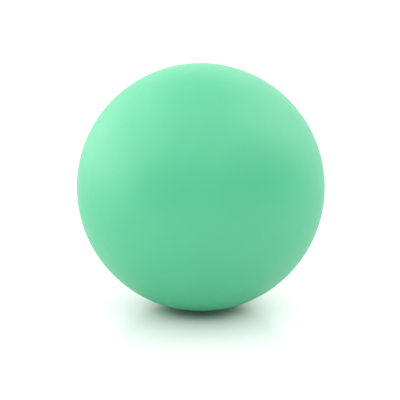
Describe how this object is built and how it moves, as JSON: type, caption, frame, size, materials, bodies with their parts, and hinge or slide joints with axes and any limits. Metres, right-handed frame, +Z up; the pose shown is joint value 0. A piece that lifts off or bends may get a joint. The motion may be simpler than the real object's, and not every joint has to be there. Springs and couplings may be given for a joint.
{
  "type": "contact juggling ball",
  "caption": "Hollow seamless soft-vinyl ball for contact juggling, blown up through a moulded-in valve seat and closed by a flush push-in stopper.",
  "frame": {"origin": "centre of the ball", "axes": "+Z up; +Y out through the valve and along the stopper's pull, at the back of the ball; -Y is the front that the picture shows"},
  "size_m": [0.1, 0.1, 0.1],
  "materials": {
    "mint_vinyl": "satin",
    "natural_vinyl": "satin",
    "stopper_vinyl": "satin"
  },
  "bodies": {
    "ball": {"shell": "mint_vinyl", "valve_seat": "natural_vinyl"},
    "stopper": {"stopper": "stopper_vinyl"}
  },
  "joints": [
    {"name": "stopper_pull", "type": "slide", "parent": "ball", "child": "stopper", "axis": [0, 1, 0], "range_m": [0, 0.02]}
  ]
}
